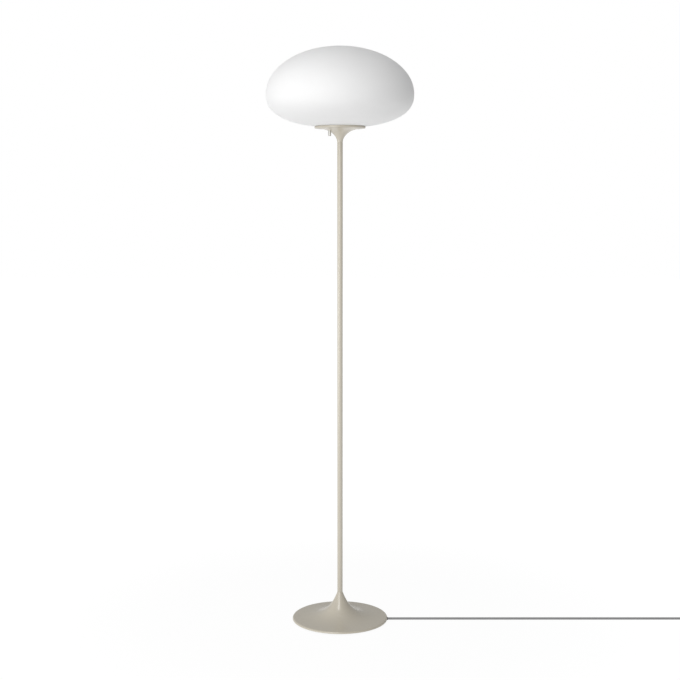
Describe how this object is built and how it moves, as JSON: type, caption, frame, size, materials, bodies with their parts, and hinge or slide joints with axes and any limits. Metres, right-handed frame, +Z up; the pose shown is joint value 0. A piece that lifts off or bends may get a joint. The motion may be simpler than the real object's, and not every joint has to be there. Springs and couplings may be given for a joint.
{
  "type": "floor lamp",
  "caption": "Mushroom floor lamp: squat opal glass shade on a slim straight stem with a trumpet base, a dimmer knob under the shade and a stowed mains cord.",
  "frame": {"origin": "centre of the base on the floor, on the axis of the stem", "axes": "+Z up along the stem, +X the way the mains cord leaves the base, -Y the side that faces the viewer of the picture"},
  "size_m": [1.237, 0.378, 1.5],
  "materials": {
    "pebble_paint": "semi-matte powder coat, warm light grey",
    "iron_casting": "bare sand casting, black dipped",
    "plate_steel": "matt black",
    "zinc_steel": "bright zinc plate",
    "foot_rubber": "matt foam rubber",
    "clear_silicone": "milky soft ring",
    "opal_glass": "satin opal, white through the wall",
    "dimmer_plastic": "white moulding",
    "brass": "turned",
    "knob_metal": "satin turned",
    "holder_plastic": "white thermoplastic",
    "holder_ceramic": "unglazed white",
    "shell_metal": "pressed sheet",
    "bulb_opal": "matt opal",
    "bulb_plastic": "white",
    "insulator_dark": "black",
    "cord_sheath": "grey soft sheath",
    "core_brown": "brown core",
    "core_blue": "blue core",
    "core_black": "black core",
    "plug_grey": "grey moulding, fine texture",
    "bush_grey": "dark grey moulding"
  },
  "bodies": {
    "stand": {"base_cover": "pebble_paint", "base_weight": "iron_casting", "bottom_plate": "plate_steel", "bottom_plate_screws": "zinc_steel", "foot_ring": "foot_rubber", "cord_exit_bush": "bush_grey", "cord_clamp": "zinc_steel", "cord_clamp_screws": "zinc_steel", "lower_nipple": "zinc_steel", "lower_washer": "zinc_steel", "lower_nut": "zinc_steel", "stem_tube": "pebble_paint", "upper_nipple": "zinc_steel", "collar": "pebble_paint", "shade_plate": "pebble_paint", "plate_washer": "zinc_steel", "plate_nut": "zinc_steel", "shade_gasket": "clear_silicone", "dimmer_body": "dimmer_plastic", "dimmer_bush": "brass", "dimmer_nut": "brass", "holder_cap": "holder_plastic", "holder_insert": "holder_ceramic", "holder_skirt": "holder_plastic", "holder_thread_shell": "shell_metal", "holder_centre_contact": "brass", "inner_lead": "cord_sheath", "neutral_core": "core_blue", "live_core": "core_brown", "switched_core": "core_black", "cord_run": "cord_sheath", "cord_coil": "cord_sheath", "plug_relief": "plug_grey", "plug_body": "plug_grey", "plug_pins": "brass", "plug_pin_sleeves": "insulator_dark"},
    "shade": {"opal_shade": "opal_glass"},
    "bulb": {"bulb_tip": "zinc_steel", "bulb_insulator": "insulator_dark", "bulb_cap": "shell_metal", "bulb_body": "bulb_plastic", "bulb_dome": "bulb_opal"},
    "knob": {"dimmer_knob": "knob_metal", "dimmer_spindle": "knob_metal"}
  },
  "joints": [
    {"name": "shade_lift", "type": "slide", "parent": "stand", "child": "shade", "axis": [0, 0, 1], "range_m": [0, 0.17]},
    {"name": "bulb_lift", "type": "slide", "parent": "stand", "child": "bulb", "axis": [0, 0, 1], "range_m": [0, 0.028]},
    {"name": "knob_turn", "type": "hinge", "parent": "stand", "child": "knob", "pos_m": [-0.0266, -0.01275, 1.285], "axis": [0, 0, 1], "range_deg": [0, 300]}
  ]
}
